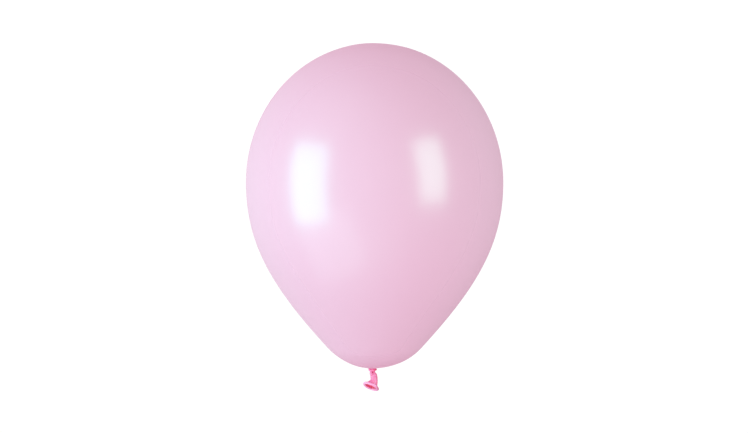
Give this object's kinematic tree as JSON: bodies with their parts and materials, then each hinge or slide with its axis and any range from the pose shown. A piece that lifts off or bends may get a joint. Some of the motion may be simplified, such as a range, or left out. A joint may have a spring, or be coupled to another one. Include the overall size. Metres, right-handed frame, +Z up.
{
  "type": "latex balloon",
  "caption": "Inflated teardrop party balloon of pale pink latex, its neck knotted under the round envelope, with a short flared tail ending in a rolled lip.",
  "frame": {"origin": "middle of the gathered neck, between the envelope and the knot, where a ribbon is tied", "axes": "+Z up from the neck to the crown, along the balloon; +X to the right; -Y to the front"},
  "size_m": [0.28, 0.28, 0.3786],
  "materials": {
    "skin": "satin pearl, tightly stretched film",
    "neck_film": "satin, unstretched film",
    "lip_bead": "satin, rolled film"
  },
  "bodies": {
    "balloon": {"envelope": "skin"},
    "neck": {"neck_pleats": "neck_film"},
    "knot": {"knot_loop": "neck_film", "knot_core": "neck_film"},
    "root": {"tail_root": "neck_film"},
    "tail": {"tail_sleeve": "neck_film", "rolled_lip": "lip_bead"}
  },
  "joints": [
    {"name": "neck_sway", "type": "hinge", "parent": "balloon", "child": "neck", "pos_m": [0, 0, 0], "axis": [0, 1, 0], "range_deg": [-6, 6], "stiffness_Nm_per_rad": 0.001},
    {"name": "knot_nod", "type": "hinge", "parent": "neck", "child": "knot", "pos_m": [0, 0, 0], "axis": [1, 0, 0], "range_deg": [-6, 6], "stiffness_Nm_per_rad": 0.001},
    {"name": "tail_nod", "type": "hinge", "parent": "knot", "child": "root", "pos_m": [0.0001, 0, -0.0039], "axis": [1, 0, 0], "range_deg": [-30, 30], "stiffness_Nm_per_rad": 0.0003},
    {"name": "tail_swing", "type": "hinge", "parent": "root", "child": "tail", "pos_m": [0.0001, 0, -0.0039], "axis": [0, 1, 0], "range_deg": [-35, 35], "stiffness_Nm_per_rad": 0.0003}
  ]
}
